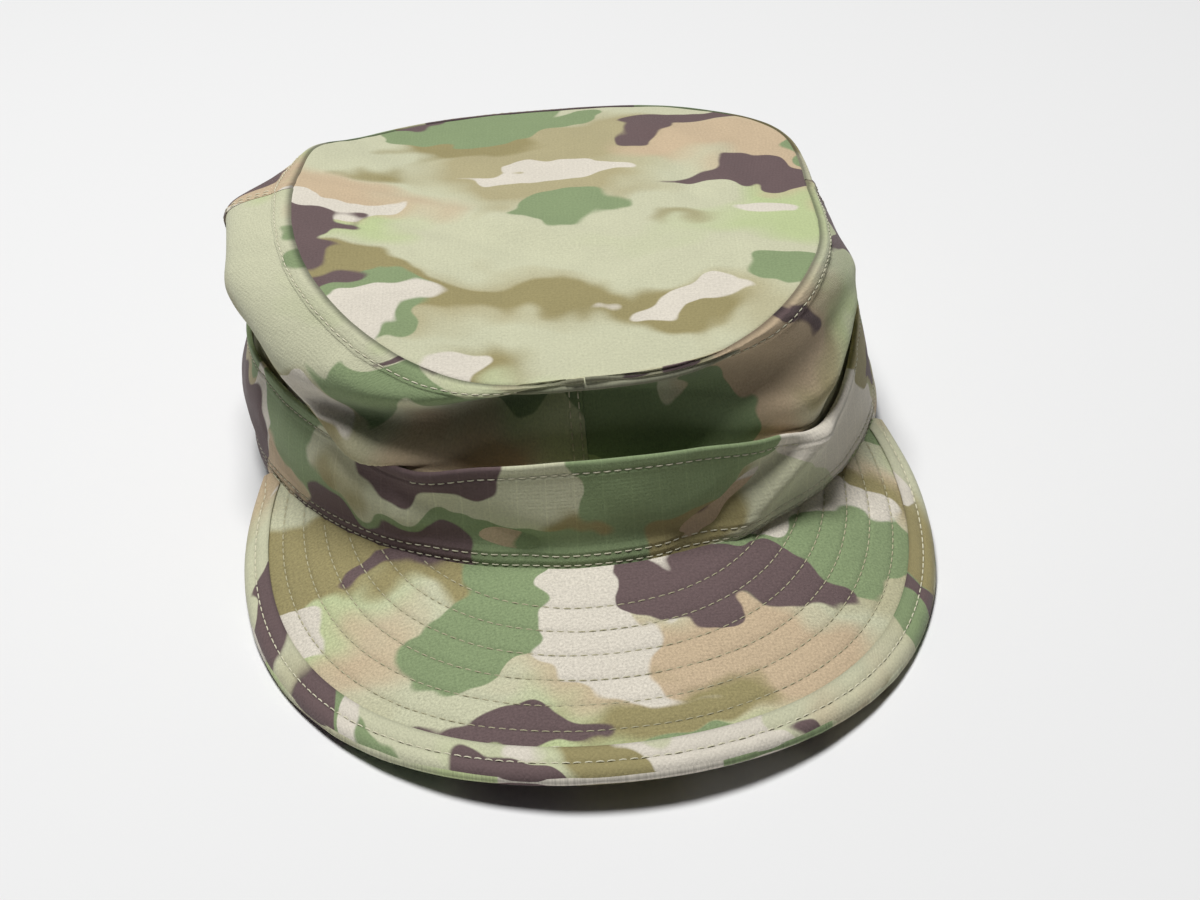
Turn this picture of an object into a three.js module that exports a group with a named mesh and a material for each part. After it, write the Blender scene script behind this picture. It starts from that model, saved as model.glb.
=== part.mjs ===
// Patrol cap: a soft cloth cap with an oval top, a slumped crown wall in three panels, a plain outer band
// and a stiff arched visor with a bound edge. Millimetres, +Z up, the visor points towards -Y.
// The cap is drawn level, with its hem in the plane z = 0 and the middle of the head opening at x = y = 0.
// It is then tipped back until it rests on its back hem and on the two sides of its visor, and moved so
// that the origin is the middle of the foot of its bounding box.

import * as THREE from 'three';

// Head opening: the oval of the hem, measured on the outside of the band
const hemHalfWidth = 85.5;
const hemHalfLength = 100.4;

// Band and crown
const bandHeight = 28;
const bandWall = 1.4;
const crownRise = 64;
const crownWall = 1.2;
const foldDepth = 10;
const sideSeamAngle = 95;

// Top panel: an oval with fuller corners than an ellipse, set forward on the head
const topHalfWidth = 69.3;
const topHalfLength = 82.5;
const topSetForward = 7.7;
const topSquareness = 2.4;
const topWall = 1.2;
const topDome = 3;

// Visor: its reach is measured from the front of the hem to the tip, its flare from the side of the hem
const visorReach = 63.2;
const visorFlare = 1.9;
const visorWidestBehindFront = 35;
const visorSquareness = 2.03;
const visorThickness = 2.2;
const visorPitchAngle = 14;
const visorCornerAngle = 68;
const visorCornerWidth = 3.2;
const bindingWidth = 8;
const bindingWall = 1;

// The gap that every two neighbours keep, and how far soft cloth is pressed flat where it rests
const clearance = 0.3;
const pressedFlat = 0.5;

// How finely the curved walls are divided
const degreesPerFacet = 5;
const bandRows = 3;
const crownRows = 8;
const topRings = 5;
const visorColumns = 44;
const visorRows = 4;
const bindingLegRows = 2;

// A table of rows of numbers becomes a list of objects with named values
function namedRows(columns, rows) {
  return rows.map((row) => Object.fromEntries(columns.map((name, index) => [name, row[index]])));
}

// Sections of the band and crown, by angle in degrees round the head from the front, positive towards +X.
// edge: height of the band's top edge, a share of bandHeight. belly and lean: how far the band swells out
// half way up, and how far its top edge stands out from the hem, as shares of foldDepth. tuck, roll and
// shoulder are the places where the crown wall bends on its way up: each stands out from the hem by a share
// of foldDepth, and above the band's edge by a share of the height left to the top seam. seam: height of
// that seam, a share of crownRise. seamOut: how far it is pushed out of its oval, a share of foldDepth.
const sectionColumns = [
  'angle', 'edge', 'belly', 'lean', 'tuckOut', 'tuckUp', 'rollOut', 'rollUp', 'shoulderOut', 'shoulderUp',
  'seam', 'seamOut',
];
const sections = namedRows(sectionColumns, [
  [-180, 1.05, 0.05, -0.45, -0.65, 0.10, -0.70, 0.38, -1.00, 0.75, 0.87, 0.00],
  [-135, 1.05, 0.10, -0.30, -0.45, 0.10, -0.45, 0.40, -0.80, 0.75, 0.91, 0.00],
  [-112, 1.04, 0.15, -0.20, -0.40, 0.10, -0.30, 0.40, -0.45, 0.75, 0.96, -0.10],
  [-90, 1.03, 0.28, -0.10, -0.30, 0.10, -0.05, 0.42, 0.25, 0.78, 1.02, 0.00],
  [-62, 1.06, 0.25, -0.25, -0.20, 0.10, 0.10, 0.36, 0.25, 0.72, 0.94, 0.00],
  [-46, 1.03, 0.15, -0.10, 0.20, 0.08, 0.45, 0.28, 0.28, 0.70, 0.86, 0.00],
  [-31, 0.86, 0.00, -0.05, -0.10, 0.10, -0.05, 0.40, 0.10, 0.76, 0.78, 0.00],
  [-18, 0.95, 0.00, -0.30, -1.05, 0.14, -1.15, 0.50, -0.25, 0.84, 0.73, 0.00],
  [0, 0.98, 0.00, -0.50, -1.45, 0.16, -1.60, 0.55, -0.65, 0.88, 0.72, 0.00],
  [18, 0.94, 0.00, -0.35, -1.15, 0.14, -1.25, 0.50, -0.35, 0.84, 0.73, 0.00],
  [32, 0.83, 0.00, -0.05, -0.45, 0.10, -0.35, 0.40, -0.05, 0.74, 0.77, 0.00],
  [43, 0.78, 0.05, 0.15, 0.05, 0.10, 0.15, 0.30, 0.05, 0.68, 0.81, 0.00],
  [62, 1.00, 0.05, -0.30, -0.45, 0.10, -0.25, 0.32, -0.40, 0.66, 0.87, 0.00],
  [90, 1.04, 0.00, -0.60, -0.80, 0.10, -0.80, 0.34, -0.95, 0.68, 0.86, 0.00],
  [118, 1.05, 0.00, -0.60, -0.80, 0.10, -0.85, 0.35, -0.90, 0.70, 0.90, 0.55],
  [142, 1.05, 0.00, -0.60, -0.80, 0.10, -0.95, 0.36, -1.20, 0.72, 0.90, 0.10],
]);

// Folds, each a ridge or a dent along a line. Its ends are places: the angle round the head, and the share
// of the way up from the band's edge to the seam, or out from the middle of the top to its seam. width is
// a share of bandHeight, and height is a share of foldDepth, below zero for a dent.
const foldColumns = ['startAngle', 'startShare', 'endAngle', 'endShare', 'width', 'height'];
const crownFolds = namedRows(foldColumns, [
  [-74, 0.62, -24, 0.30, 0.28, 0.30],
  [-66, 0.40, -30, 0.12, 0.20, -0.20],
  [24, 0.20, 72, 0.60, 0.26, 0.28],
  [32, 0.10, 80, 0.42, 0.20, -0.18],
  [110, 0.30, 160, 0.60, 0.40, 0.25],
  [-150, 0.70, -112, 0.35, 0.40, 0.20],
]);
const topFolds = namedRows(foldColumns, [
  [-88, 0.62, 10, 0.42, 0.30, -0.12],
  [150, 0.80, 96, 0.72, 0.30, 0.12],
]);

// The value of one column of the sections at any angle, on a smooth curve that closes on itself
function sectionValue(column, angle) {
  const turn = 360;
  const first = sections[0].angle;
  const wrapped = first + ((((angle - first) % turn) + turn) % turn);
  const knot = (index) => {
    const lap = Math.floor(index / sections.length);
    const section = sections[index - lap * sections.length];
    return { angle: section.angle + lap * turn, value: section[column] };
  };
  let index = 0;
  while (knot(index + 1).angle <= wrapped) {
    index += 1;
  }
  const [before, from, to, after] = [knot(index - 1), knot(index), knot(index + 1), knot(index + 2)];
  const span = to.angle - from.angle;
  const share = (wrapped - from.angle) / span;
  const leaving = ((to.value - before.value) / (to.angle - before.angle)) * span;
  const arriving = ((after.value - from.value) / (after.angle - from.angle)) * span;
  const square = share ** 2;
  const cube = share ** 3;
  return (2 * cube - 3 * square + 1) * from.value + (cube - 2 * square + share) * leaving
    + (3 * square - 2 * cube) * to.value + (cube - square) * arriving;
}

// A point of an oval at an angle from its front; a squareness of 2 is an ellipse
function ovalPoint(halfWidth, halfLength, squareness, angle) {
  const radians = THREE.MathUtils.degToRad(angle);
  const sine = Math.sin(radians);
  const cosine = Math.cos(radians);
  const power = 2 / squareness;
  return new THREE.Vector3(
    halfWidth * Math.sign(sine) * Math.abs(sine) ** power,
    -halfLength * Math.sign(cosine) * Math.abs(cosine) ** power,
    0,
  );
}

function hemPoint(angle) {
  return ovalPoint(hemHalfWidth, hemHalfLength, 2, angle);
}

// The level direction straight out of the hem
function hemOutward(angle) {
  const radians = THREE.MathUtils.degToRad(angle);
  const outward = new THREE.Vector3(
    Math.sin(radians) * hemHalfLength,
    -Math.cos(radians) * hemHalfWidth,
    0,
  );
  return outward.normalize();
}

// A place given by how far it stands out from the hem and how high it is
function placeFromHem(angle, out, height) {
  return hemPoint(angle).addScaledVector(hemOutward(angle), out).setZ(height);
}

function bandEdgeHeight(angle) {
  return bandHeight * sectionValue('edge', angle);
}

function seamHeight(angle) {
  return crownRise * sectionValue('seam', angle);
}

// How far the outside of the band stands out from the hem, at a share of the way up to its top edge
function bandOut(angle, share) {
  const lean = sectionValue('lean', angle) * share;
  const belly = sectionValue('belly', angle) * Math.sin(Math.PI * share) ** 2;
  return foldDepth * (lean + belly);
}

function bandPoint(angle, share) {
  return placeFromHem(angle, bandOut(angle, share), bandEdgeHeight(angle) * share);
}

// The seam between the crown wall and the top panel
function seamPoint(angle) {
  const point = ovalPoint(topHalfWidth, topHalfLength, topSquareness, angle);
  point.y -= topSetForward;
  point.addScaledVector(hemOutward(angle), foldDepth * sectionValue('seamOut', angle));
  return point.setZ(seamHeight(angle));
}

// The bends of the crown wall at one angle, from the band's top edge to the seam
function crownBends(angle) {
  const edge = bandEdgeHeight(angle);
  const rise = seamHeight(angle) - edge;
  const inside = bandWall + clearance;
  const bendAt = (name) => placeFromHem(
    angle,
    foldDepth * sectionValue(`${name}Out`, angle) - inside,
    edge + rise * sectionValue(`${name}Up`, angle),
  );
  const start = placeFromHem(angle, foldDepth * sectionValue('lean', angle) - inside, edge);
  return [start, bendAt('tuck'), bendAt('roll'), bendAt('shoulder'), seamPoint(angle)];
}

// Flat maps, on which the folds' lines and widths are measured
function crownMap(angle, share) {
  const around = THREE.MathUtils.degToRad(angle) * hemHalfWidth;
  return new THREE.Vector3(around, (crownRise - bandHeight) * share, 0);
}

function topMap(angle, share) {
  return ovalPoint(topHalfWidth, topHalfLength, topSquareness, angle).multiplyScalar(share);
}

// How far the folds in a table move a place of a panel outwards
function foldHeight(folds, map, angle, share) {
  const place = map(angle, share);
  return folds.reduce((height, fold) => {
    const line = new THREE.Line3(
      map(fold.startAngle, fold.startShare),
      map(fold.endAngle, fold.endShare),
    );
    const nearest = line.closestPointToPoint(place, true, new THREE.Vector3());
    const widths = nearest.distanceTo(place) / (bandHeight * fold.width);
    return height + foldDepth * fold.height * Math.exp(-(widths ** 2));
  }, 0);
}

// The outside of the crown wall: straight inside the band up to share 0, folded and slumped from there to
// the seam at share 1
function crownPoint(angle, share) {
  const outward = hemOutward(angle);
  if (share <= 0) {
    return bandPoint(angle, 1 + share).addScaledVector(outward, -bandWall - clearance);
  }
  const signedAngle = angle > 180 ? angle - 360 : angle;
  const curve = new THREE.CatmullRomCurve3(crownBends(angle), false, 'centripetal');
  const fade = Math.sin(Math.PI * share);
  const height = foldHeight(crownFolds, crownMap, signedAngle, share);
  return curve.getPoint(share).addScaledVector(outward, height * fade);
}

// The upper side of the top panel, from its middle at share 0 to its seam at share 1
const topMiddleHeight = [0, 90, 180, 270].reduce((sum, angle) => sum + seamHeight(angle), 0) / 4;

function topPoint(angle, share) {
  const seam = seamPoint(angle);
  const point = new THREE.Vector3(seam.x * share, (seam.y + topSetForward) * share - topSetForward, 0);
  const dome = topDome * (1 - share ** 2);
  const crease = foldHeight(topFolds, topMap, angle, share) * (1 - share ** 4);
  return point.setZ(THREE.MathUtils.lerp(topMiddleHeight, seam.z, share ** 2) + dome + crease);
}

// Even steps from one value to another, both ends included
function steps(from, to, count) {
  return Array.from({ length: count + 1 }, (_, index) => from + ((to - from) * index) / count);
}

// The outward normal of a surface at an angle and a share; rising is 1 if the share runs up or inwards
function surfaceNormal(surface, angle, share, rising) {
  const turn = 0.2;
  const step = 0.002;
  const around = surface(angle + turn, share).sub(surface(angle - turn, share));
  const along = surface(angle, share + step).sub(surface(angle, share - step));
  return around.cross(along).multiplyScalar(rising).normalize();
}

// A grid of points on a surface, and the same grid moved in by the thickness of the wall
function wallGrid(surface, angles, shares, wall, rising) {
  const outer = shares.map((share) => angles.map((angle) => surface(angle, share)));
  const inner = shares.map((share, row) => angles.map((angle, column) => {
    const normal = surfaceNormal(surface, angle, share, rising);
    return outer[row][column].clone().addScaledVector(normal, -wall);
  }));
  return { outer, inner };
}

// The mitred joint where the crown wall meets the top panel, at the middle of its gap
function seamJoint(angle) {
  const nearSeam = 0.99;
  const point = seamPoint(angle);
  const crownNormal = surfaceNormal(crownPoint, angle, nearSeam, 1);
  const topNormal = surfaceNormal(topPoint, angle, nearSeam, -1);
  const mitre = crownNormal.clone().add(topNormal).normalize();
  const depth = crownWall / mitre.dot(crownNormal);
  const rising = point.clone().sub(crownPoint(angle, nearSeam)).normalize();
  const inward = topPoint(angle, nearSeam).sub(point).normalize();
  const across = rising.add(inward).normalize();
  return { outer: point, inner: point.clone().addScaledVector(mitre, -depth), across };
}

// Moves the row of a grid that lies on the seam to its own side of the joint
function fitToSeam(grid, row, angles, side) {
  angles.forEach((angle, column) => {
    const joint = seamJoint(angle);
    const shift = joint.across.clone().multiplyScalar((side * clearance) / 2);
    grid.outer[row][column] = joint.outer.clone().add(shift);
    grid.inner[row][column] = joint.inner.clone().add(shift);
  });
  return grid;
}

// One panel of the crown wall between two upright seams
function crownPanel(startAngle, endAngle) {
  const halfGap = THREE.MathUtils.radToDeg(clearance / 2 / topHalfWidth);
  const count = Math.round((endAngle - startAngle) / degreesPerFacet);
  const angles = steps(startAngle + halfGap, endAngle - halfGap, count);
  const shares = [...steps(-1, 0, bandRows), ...steps(0, 1, crownRows).slice(1)];
  const grid = wallGrid(crownPoint, angles, shares, crownWall, 1);
  return fitToSeam(grid, shares.length - 1, angles, -1);
}

// Angles all round the head, without the last, which is the first again
function fullTurn() {
  const count = Math.round(360 / degreesPerFacet);
  return steps(-180, 180, count).slice(0, -1);
}

function band() {
  return { ...wallGrid(bandPoint, fullTurn(), steps(0, 1, bandRows), bandWall, 1), closed: true };
}

// The top panel's rows run from the seam to a ring near the middle, and end in one point
function topPanel() {
  const angles = fullTurn();
  const shares = steps(1, 0, topRings).slice(0, -1);
  const grid = fitToSeam(wallGrid(topPoint, angles, shares, topWall, -1), 0, angles, 1);
  const middle = topPoint(0, 0);
  return { ...grid, closed: true, poles: [middle, middle.clone().setZ(middle.z - topWall)] };
}

// The visor's inner edge, just clear of the band over its own thickness, at a place from -1 at its left
// corner to 1 at its right. The band is straight between its hem and its first row.
function visorInnerEdge(place) {
  const angle = place * visorCornerAngle;
  const firstRow = 1 / bandRows;
  const slope = bandOut(angle, firstRow) / (bandEdgeHeight(angle) * firstRow);
  return placeFromHem(angle, Math.max(slope * visorThickness, 0) + clearance, 0);
}

// The visor's outline: an oval front, then a slight curve in from its widest line to the corners
const visorFrontShare = 0.84;

function visorOutline(place) {
  const corner = hemPoint(visorCornerAngle);
  const halfWidth = hemHalfWidth + visorFlare;
  const widestLine = -hemHalfLength + visorWidestBehindFront;
  const side = Math.sign(place);
  const distance = Math.abs(place);
  if (distance <= visorFrontShare) {
    const angle = (90 * place) / visorFrontShare;
    const point = ovalPoint(halfWidth, visorReach + visorWidestBehindFront, visorSquareness, angle);
    return point.setY(point.y + widestLine);
  }
  const back = (distance - visorFrontShare) / (1 - visorFrontShare);
  const x = THREE.MathUtils.lerp(halfWidth, corner.x + visorCornerWidth, back ** 2);
  return new THREE.Vector3(side * x, THREE.MathUtils.lerp(widestLine, corner.y, back), 0);
}

// How far the outline hangs below the hem: the visor slopes down at its pitch, and arches across so that
// its two corners come back up to the hem
function visorDrop(point) {
  const slope = Math.tan(THREE.MathUtils.degToRad(visorPitchAngle));
  const corner = hemPoint(visorCornerAngle);
  const arch = (corner.y + hemHalfLength) * (point.x / corner.x) ** 2;
  return slope * (arch - hemHalfLength - point.y);
}

// The middle of the visor's thickness, at a distance in from the outline along a line to the inner edge
function visorPoint(place, inward) {
  const edge = visorOutline(place);
  const foot = visorInnerEdge(place);
  const length = edge.distanceTo(foot);
  const share = inward / length;
  const height = visorThickness / 2 - visorDrop(edge) * (1 - share);
  return edge.lerp(foot, share).setZ(height);
}

function visorLength(place) {
  return visorOutline(place).distanceTo(visorInnerEdge(place));
}

// A point straight above or below the middle of the visor
function visorOffset(place, inward, height) {
  const point = visorPoint(place, inward);
  return point.setZ(point.z + height);
}

function visor() {
  const places = steps(-1, 1, visorColumns);
  const rimInset = bindingWall + clearance;
  const insets = (place) => steps(rimInset, visorLength(place), visorRows);
  const layer = (height) => steps(0, visorRows, visorRows).map((row) => places.map(
    (place) => visorOffset(place, insets(place)[row], height),
  ));
  return { outer: layer(visorThickness / 2), inner: layer(-visorThickness / 2) };
}

// The binding is a strip folded round the visor's rim: under it, round the edge and back over it
function visorBinding() {
  const places = steps(-1, 1, visorColumns);
  const inside = visorThickness / 2 + clearance;
  const outside = inside + bindingWall;
  const legs = (place, from, to) => {
    const width = Math.min(bindingWidth, visorLength(place) - clearance);
    return steps(width, from, bindingLegRows).map((inward) => [inward, to]);
  };
  const path = (place, edgeInset, height) => {
    const under = legs(place, edgeInset, -height);
    const over = legs(place, edgeInset, height).reverse();
    return [...under, ...over];
  };
  const layer = (edgeInset, height) => {
    const columns = places.map((place) => path(place, edgeInset, height).map(
      ([inward, offset]) => visorOffset(place, inward, offset),
    ));
    return columns[0].map((_, row) => columns.map((column) => column[row]));
  };
  return { outer: layer(0, outside), inner: layer(bindingWall, inside) };
}

const cloth = {
  top: { color: 0xb7b88f, roughness: 0.92, metalness: 0 },
  crown: { color: 0x8f9a72, roughness: 0.92, metalness: 0 },
  band: { color: 0x8a9470, roughness: 0.92, metalness: 0 },
  visor: { color: 0x9b946f, roughness: 0.9, metalness: 0 },
  binding: { color: 0x7f8a62, roughness: 0.9, metalness: 0 },
};

const pieces = [
  { name: 'top_panel', finish: cloth.top, ...topPanel() },
  { name: 'crown_front_left', finish: cloth.crown, ...crownPanel(-sideSeamAngle, 0) },
  { name: 'crown_front_right', finish: cloth.crown, ...crownPanel(0, sideSeamAngle) },
  { name: 'crown_back', finish: cloth.crown, ...crownPanel(sideSeamAngle, 360 - sideSeamAngle) },
  { name: 'band', finish: cloth.band, ...band() },
  { name: 'visor', finish: cloth.visor, ...visor() },
  { name: 'visor_binding', finish: cloth.binding, ...visorBinding() },
];

function pointsOf(piece) {
  return [...piece.outer.flat(), ...piece.inner.flat(), ...(piece.poles ?? [])];
}

// The lowest height of some points once the cap is tipped back by an angle in radians
function lowest(points, tilt) {
  return Math.min(...points.map((point) => point.z * Math.cos(tilt) - point.y * Math.sin(tilt)));
}

// The angle at which the visor and the back of the hem touch the same level surface
function restingTilt(points) {
  const front = points.filter((point) => point.y < 0);
  const back = points.filter((point) => point.y > 0);
  let [low, high] = [0, Math.PI / 6];
  for (let round = 0; round < 40; round += 1) {
    const middle = (low + high) / 2;
    if (lowest(front, middle) < lowest(back, middle)) {
      low = middle;
    } else {
      high = middle;
    }
  }
  return (low + high) / 2;
}

// Tips every point back, lets soft cloth press flat on the surface, and centres the cap on the origin
function setDown(allPieces) {
  const points = allPieces.flatMap(pointsOf);
  const tilt = restingTilt(points);
  const floor = lowest(points, tilt) + pressedFlat;
  const tip = new THREE.Matrix4().makeRotationX(-tilt);
  for (const point of points) {
    point.applyMatrix4(tip);
    point.z = Math.max(point.z - floor, 0);
  }
  const centre = new THREE.Box3().setFromPoints(points).getCenter(new THREE.Vector3());
  for (const point of points) {
    point.x -= centre.x;
    point.y -= centre.y;
  }
}

// A closed solid from two grids of points: the outer side, the inner side and the rims between them
function solidFromGrids({ outer, inner, closed = false, poles = [] }) {
  const rowCount = outer.length;
  const columnCount = outer[0].length;
  const positions = [...outer.flat(), ...inner.flat(), ...poles].flatMap((point) => point.toArray());
  const faces = [];
  const quad = (a, b, c, d) => faces.push(a, b, c, a, c, d);
  const outerAt = (row, column) => row * columnCount + (column % columnCount);
  const innerAt = (row, column) => outerAt(row, column) + rowCount * columnCount;
  const lastRow = rowCount - 1;
  const spans = closed ? columnCount : columnCount - 1;
  for (let column = 0; column < spans; column += 1) {
    const next = column + 1;
    for (let row = 0; row < lastRow; row += 1) {
      const up = row + 1;
      quad(outerAt(row, column), outerAt(row, next), outerAt(up, next), outerAt(up, column));
      quad(innerAt(row, column), innerAt(up, column), innerAt(up, next), innerAt(row, next));
    }
    quad(outerAt(0, column), innerAt(0, column), innerAt(0, next), outerAt(0, next));
    if (poles.length > 0) {
      const outerPole = 2 * rowCount * columnCount;
      const innerPole = outerPole + 1;
      faces.push(outerAt(lastRow, column), outerAt(lastRow, next), outerPole);
      faces.push(innerAt(lastRow, next), innerAt(lastRow, column), innerPole);
    } else {
      quad(
        outerAt(lastRow, column), outerAt(lastRow, next),
        innerAt(lastRow, next), innerAt(lastRow, column),
      );
    }
  }
  if (!closed) {
    const last = columnCount - 1;
    for (let row = 0; row < lastRow; row += 1) {
      const up = row + 1;
      quad(outerAt(row, 0), outerAt(up, 0), innerAt(up, 0), innerAt(row, 0));
      quad(outerAt(row, last), innerAt(row, last), innerAt(up, last), outerAt(up, last));
    }
  }
  const geometry = new THREE.BufferGeometry();
  geometry.setAttribute('position', new THREE.Float32BufferAttribute(positions, 3));
  geometry.setIndex(faces);
  geometry.computeVertexNormals();
  return geometry;
}

setDown(pieces);

const patrolCap = new THREE.Group();
for (const piece of pieces) {
  const mesh = new THREE.Mesh(solidFromGrids(piece), new THREE.MeshStandardMaterial(piece.finish));
  mesh.name = piece.name;
  patrolCap.add(mesh);
}

export default patrolCap;
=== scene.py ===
"""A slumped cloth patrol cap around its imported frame: fine cloth walls, felled seams, real stitches and a
generic printed camouflage on ripstop cloth. Shapes are worked out in millimetres in the cap's own level
frame, where the hem lies in the plane z = 0, and are then tipped back on to the surface that it rests on."""

import math

import bpy
import numpy as np
from mathutils import Matrix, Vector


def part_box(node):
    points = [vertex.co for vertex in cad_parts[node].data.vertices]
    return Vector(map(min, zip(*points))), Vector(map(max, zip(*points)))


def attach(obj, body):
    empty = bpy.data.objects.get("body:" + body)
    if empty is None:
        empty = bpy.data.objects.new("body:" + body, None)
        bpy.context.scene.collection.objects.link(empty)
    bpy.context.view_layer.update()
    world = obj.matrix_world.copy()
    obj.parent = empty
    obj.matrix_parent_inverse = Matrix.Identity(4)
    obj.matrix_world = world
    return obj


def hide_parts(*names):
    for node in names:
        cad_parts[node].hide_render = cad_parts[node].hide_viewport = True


MM = 0.001

# Sizes of the cap
HEM_HALF_WIDTH = 85.5
HEM_HALF_LENGTH = 100.4
BAND_HEIGHT = 28
BAND_WALL = 1.4
CROWN_RISE = 64
CROWN_WALL = 1.2
FOLD_DEPTH = 10
SIDE_SEAM_ANGLE = 95
TOP_HALF_WIDTH = 69.3
TOP_HALF_LENGTH = 82.5
TOP_SET_FORWARD = 7.7
TOP_SQUARENESS = 2.4
TOP_WALL = 1.2
TOP_DOME = 3
VISOR_REACH = 63.2
VISOR_FLARE = 1.9
VISOR_WIDEST_BEHIND_FRONT = 35
VISOR_SQUARENESS = 2.03
VISOR_THICKNESS = 2.2
VISOR_PITCH = 14
VISOR_CORNER_ANGLE = 68
VISOR_CORNER_WIDTH = 3.2
VISOR_FRONT_SHARE = 0.84
BINDING_WIDTH = 8
BINDING_WALL = 1
CLEARANCE = 0.3
PRESSED_FLAT = 0.5

# Cloth, seams and thread
SEAM_STRIP = 4.6
SEAM_STRIP_ROW = 3.6
FELL_WIDTH = 4.4
FELL_ROWS = (1.1, 3.4)
CROWN_SEAMS = (-SIDE_SEAM_ANGLE, 0, SIDE_SEAM_ANGLE)
BAND_TOP_ROW = 2.4
BAND_TOP_ROW_SPANS = ((-180, -47), (-31, 37), (57, 180))
BAND_FOOT_ROWS = (2.4, 4.6)
BAND_FOOT_STRIP = 5.9
VISOR_FIRST_ROW = 13.3
VISOR_ROW_SPACING = 7.4
VISOR_ROW_COUNT = 6
BINDING_ROW = 3.8
BINDING_CLOTH = 0.7
STITCH_PITCH = 2.5
STITCH_LENGTH = 2.05
STITCH_START = 0.3
THREAD_RADIUS = 0.16
THREAD_SIDES = 6

# How far seams, strips and rows of stitches stand out of the cloth or sink into it
SEAM_STRIP_RAISE = 0.8
SEAM_PINCH = 1.3
RIM_PINCH = 1.2
FELL_RAISE = 0.5
BAND_HEM_RAISE = 0.3
BAND_FOOT_RAISE = 0.4
QUILT_DENT = 0.17
QUILT_CREASE = 0.16
BINDING_STAND = 0.65
BINDING_ROW_DENT = 0.25

# Painted shade: how much darker the cloth is, as a share, in the grooves along rows of stitches, in seams and
# at edges where parts meet, and for each millimetre by which the crown turns in at the front
ROW_SHADE = 0.22
SEAM_SHADE = 0.62
BINDING_SHADE = 0.25
VISOR_EDGE_SHADE = 0.45
HEM_SHADE = 0.3
RECESS_SHADE = 0.5 / 8.5

# The place of each panel on the printed cloth, in millimetres
CLOTH_CORNER = {
    "crown_front_left": (110, 380),
    "crown_front_right": (430, 160),
    "crown_back": (260, 700),
    "band": (640, 300),
    "top_panel": (150, 470),
    "visor": (820, 400),
    "visor_binding": (60, 900),
}


def named_rows(columns, rows):
    """A table of rows of numbers as a dict of columns."""
    return {name: np.array([row[i] for row in rows], float) for i, name in enumerate(columns)}


# Sections of the band and crown by angle in degrees round the head from the front, positive towards +X.
# edge is a share of BAND_HEIGHT, seam of CROWN_RISE, the Up columns of the height between the two, and the
# others of FOLD_DEPTH.
SECTIONS = named_rows(
    (
        "angle", "edge", "belly", "lean", "tuckOut", "tuckUp",
        "rollOut", "rollUp", "shoulderOut", "shoulderUp", "seam", "seamOut",
    ),
    (
        (-180, 1.05, 0.05, -0.45, -0.65, 0.10, -0.70, 0.38, -1.00, 0.75, 0.87, 0.00),
        (-135, 1.05, 0.10, -0.30, -0.45, 0.10, -0.45, 0.40, -0.80, 0.75, 0.91, 0.00),
        (-112, 1.04, 0.15, -0.20, -0.40, 0.10, -0.30, 0.40, -0.45, 0.75, 0.96, -0.10),
        (-90, 1.03, 0.28, -0.10, -0.30, 0.10, -0.05, 0.42, 0.25, 0.78, 1.02, 0.00),
        (-62, 1.06, 0.25, -0.25, -0.20, 0.10, 0.10, 0.36, 0.25, 0.72, 0.94, 0.00),
        (-46, 1.03, 0.15, -0.10, 0.20, 0.08, 0.45, 0.28, 0.28, 0.70, 0.86, 0.00),
        (-31, 0.86, 0.00, -0.05, -0.10, 0.10, -0.05, 0.40, 0.10, 0.76, 0.78, 0.00),
        (-18, 0.95, 0.00, -0.30, -1.05, 0.14, -1.15, 0.50, -0.25, 0.84, 0.73, 0.00),
        (0, 0.98, 0.00, -0.50, -1.45, 0.16, -1.60, 0.55, -0.65, 0.88, 0.72, 0.00),
        (18, 0.94, 0.00, -0.35, -1.15, 0.14, -1.25, 0.50, -0.35, 0.84, 0.73, 0.00),
        (32, 0.83, 0.00, -0.05, -0.45, 0.10, -0.35, 0.40, -0.05, 0.74, 0.77, 0.00),
        (43, 0.78, 0.05, 0.15, 0.05, 0.10, 0.15, 0.30, 0.05, 0.68, 0.81, 0.00),
        (62, 1.00, 0.05, -0.30, -0.45, 0.10, -0.25, 0.32, -0.40, 0.66, 0.87, 0.00),
        (90, 1.04, 0.00, -0.60, -0.80, 0.10, -0.80, 0.34, -0.95, 0.68, 0.86, 0.00),
        (118, 1.05, 0.00, -0.60, -0.80, 0.10, -0.85, 0.35, -0.90, 0.70, 0.90, 0.55),
        (142, 1.05, 0.00, -0.60, -0.80, 0.10, -0.95, 0.36, -1.20, 0.72, 0.90, 0.10),
    ),
)

# Folds, each a ridge or a dent along a line between two places: the angle round the head, and the share of
# the way up from the band's edge to the seam, up the band, or out from the middle of the top to its seam.
# width is a share of BAND_HEIGHT and height, below zero for a dent, of FOLD_DEPTH.
FOLD_COLUMNS = ("startAngle", "startShare", "endAngle", "endShare", "width", "height")
CROWN_FOLDS = named_rows(FOLD_COLUMNS, (
    (-74, 0.62, -24, 0.30, 0.28, 0.30),
    (-66, 0.40, -30, 0.12, 0.20, -0.20),
    (24, 0.20, 72, 0.60, 0.26, 0.28),
    (32, 0.10, 80, 0.42, 0.20, -0.18),
    (110, 0.30, 160, 0.60, 0.40, 0.25),
    (-150, 0.70, -112, 0.35, 0.40, 0.20),
    (-92, 0.30, -62, 0.16, 0.12, -0.10),
    (-84, 0.52, -50, 0.56, 0.10, -0.07),
    (-44, 0.80, -14, 0.62, 0.10, 0.07),
    (52, 0.70, 92, 0.40, 0.10, -0.08),
    (128, 0.66, 176, 0.34, 0.16, -0.12),
    (-172, 0.46, -120, 0.62, 0.16, -0.12),
    (-120, 0.78, -102, 0.78, 0.40, 0.72),
))
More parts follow.
